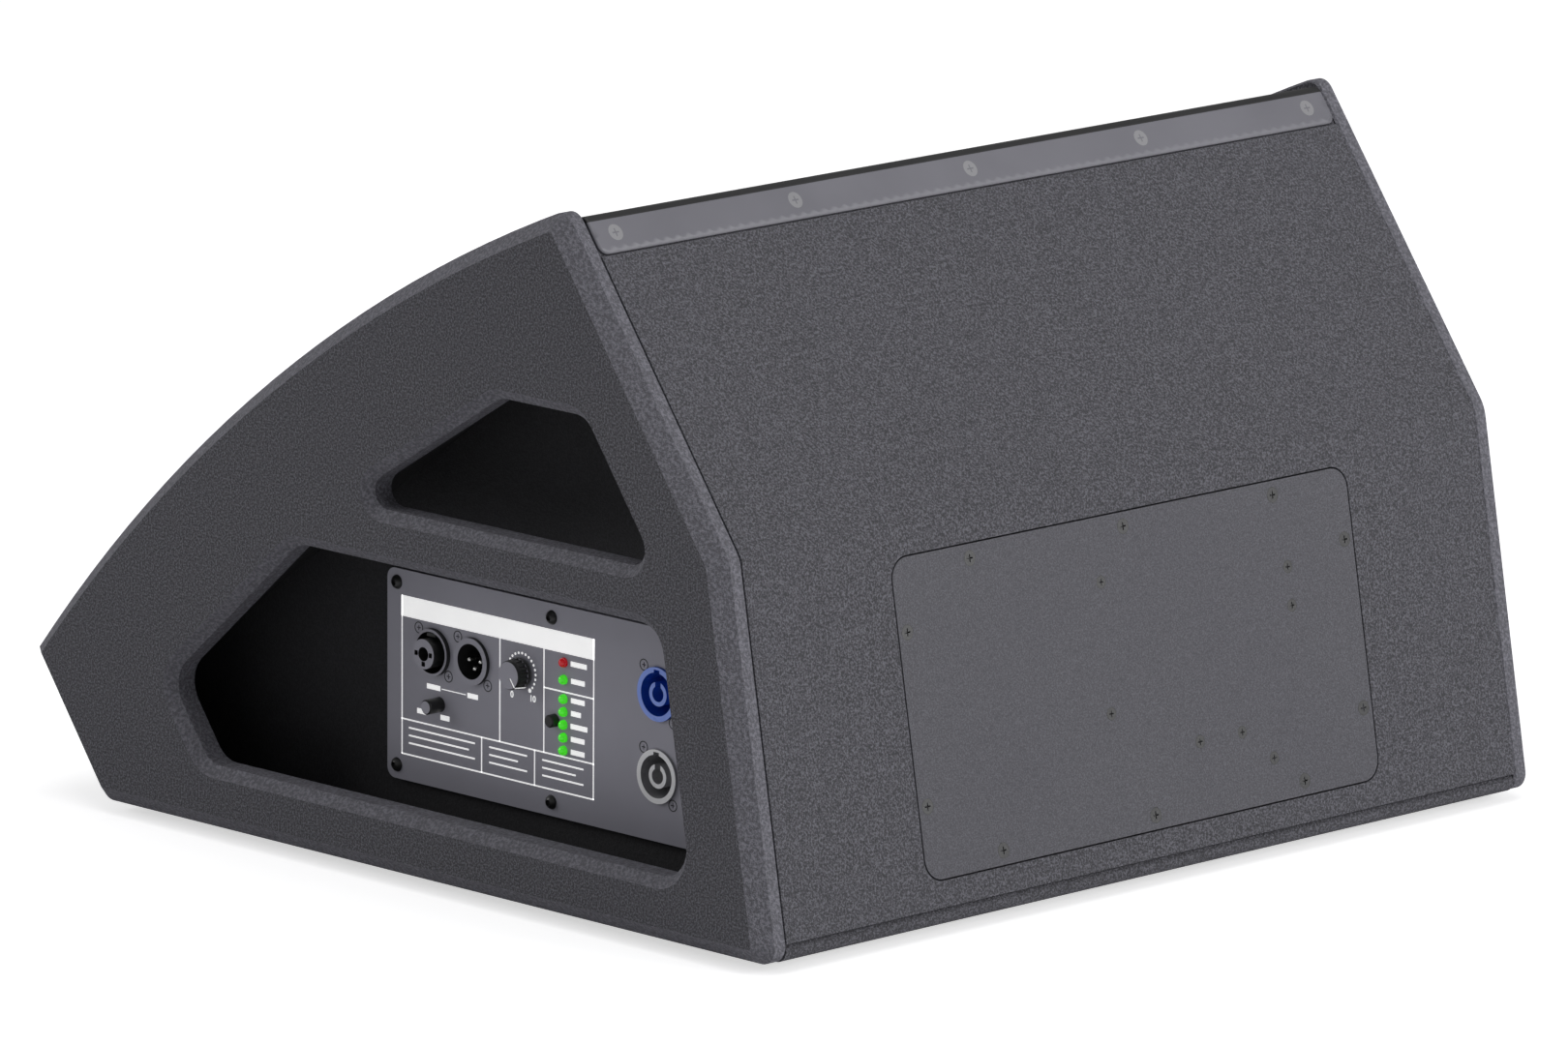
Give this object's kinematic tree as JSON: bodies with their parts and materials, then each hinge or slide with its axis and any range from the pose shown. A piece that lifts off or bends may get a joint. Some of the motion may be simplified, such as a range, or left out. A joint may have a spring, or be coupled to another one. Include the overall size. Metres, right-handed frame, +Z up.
{
  "type": "stage monitor wedge",
  "caption": "Low floor monitor wedge with bowed grille, hand-hole cheeks, a side pocket of connectors and controls, and a rear amplifier plate.",
  "frame": {"origin": "centre of the bounding box in plan, at the underside of the feet", "axes": "+Z up, -Y towards the listener side with the bowed grille, +Y towards the rear plate, +X towards the connector pocket"},
  "size_m": [0.51, 0.4884, 0.3256],
  "materials": {
    "textured_paint": "textured hard-wearing paint on birch plywood",
    "baffle_black": "flat black paint on birch plywood",
    "pine": "bare",
    "grille_coat": "smooth powder coat",
    "foam": "open-cell foam",
    "wadding": "fibre lining",
    "zinc": "zinc plated",
    "black_steel": "black oxide",
    "black_plastic": "moulded",
    "soft_black": "matt",
    "cast_frame": "satin black paint on cast aluminium",
    "paper_cone": "coated paper",
    "spider_cloth": "impregnated cloth",
    "copper": "enamelled wire",
    "plated_iron": "zinc plated",
    "ferrite": "ground",
    "plate_paint": "fine textured paint",
    "panel_grey": "smooth satin paint with printed fields",
    "circuit_green": "solder mask",
    "brass_parts": "turned",
    "heat_aluminium": "extruded",
    "coil_tape": "winding tape",
    "capacitor_sleeve": "shrink sleeve",
    "inlet_blue": "moulded",
    "outlet_grey": "moulded",
    "silver_contacts": "plated",
    "lens_red": "lit lens",
    "lens_green": "lit lens",
    "cable_black": "sleeved leads"
  },
  "bodies": {
    "cabinet": {"cheek_right": "textured_paint", "cheek_left": "textured_paint", "bottom_board": "textured_paint", "rear_lower_panel": "textured_paint", "rear_upper_panel": "textured_paint", "baffle_board": "baffle_black", "nose_panel": "textured_paint", "pocket_wall_right": "textured_paint", "pocket_wall_left": "textured_paint", "glue_blocks": "pine", "grille": "grille_coat", "grille_foam": "foam", "grille_screws": "zinc", "wadding": "wadding", "port_tubes": "black_plastic", "woofer_frame": "cast_frame", "woofer_gasket": "soft_black", "woofer_screws": "black_steel", "woofer_surround": "soft_black", "woofer_spider": "spider_cloth", "top_plate": "plated_iron", "ring_magnet": "ferrite", "pole_piece": "plated_iron", "horn": "black_plastic", "compression_driver": "cast_frame", "rear_plate": "plate_paint", "rear_plate_gasket": "soft_black", "rear_plate_screws": "black_steel", "module_screws": "black_steel", "amp_board": "circuit_green", "amp_spacers": "brass_parts", "heat_spreader": "heat_aluminium", "output_transistors": "black_plastic", "supply_transformer": "coil_tape", "filter_capacitors": "capacitor_sleeve", "connector_plate": "panel_grey", "connector_plate_gasket": "soft_black", "connector_plate_screws": "black_steel", "input_socket": "black_plastic", "link_socket": "black_plastic", "link_pins": "silver_contacts", "mains_inlet": "inlet_blue", "mains_outlet": "outlet_grey", "mains_contacts": "brass_parts", "socket_screws": "zinc", "volume_control": "black_plastic", "button_switches": "black_plastic", "input_board": "circuit_green", "clip_light": "lens_red", "green_lights": "lens_green", "wiring_loom": "cable_black", "rubber_feet": "soft_black", "foot_screws": "zinc"},
    "volume_control_shaft": {"volume_shaft": "plated_iron", "volume_knob": "black_plastic"},
    "preset_key": {"preset_button": "black_plastic"},
    "level_key": {"level_button": "black_plastic"},
    "latch_tab": {"socket_latch": "black_plastic"},
    "cone_assembly": {"woofer_cone": "paper_cone", "voice_coil": "copper"}
  },
  "joints": [
    {"name": "volume_turn", "type": "hinge", "parent": "cabinet", "child": "volume_control_shaft", "pos_m": [0.2, 0.03206, 0.096], "axis": [-1, 0, 0], "range_deg": [-270, 0]},
    {"name": "preset_press", "type": "slide", "parent": "cabinet", "child": "preset_key", "axis": [-1, 0, 0], "range_m": [0, 0.0015], "stiffness_N_per_m": 60},
    {"name": "level_press", "type": "slide", "parent": "cabinet", "child": "level_key", "axis": [-1, 0, 0], "range_m": [0, 0.0015], "stiffness_N_per_m": 60},
    {"name": "latch_press", "type": "slide", "parent": "cabinet", "child": "latch_tab", "axis": [-1, 0, 0], "range_m": [0, 0.0012], "stiffness_N_per_m": 80},
    {"name": "cone_travel", "type": "slide", "parent": "cabinet", "child": "cone_assembly", "axis": [0, -0.5878, 0.809], "range_m": [-0.004, 0.004], "stiffness_N_per_m": 3000, "deforming": ["woofer_surround", "woofer_spider"]}
  ]
}
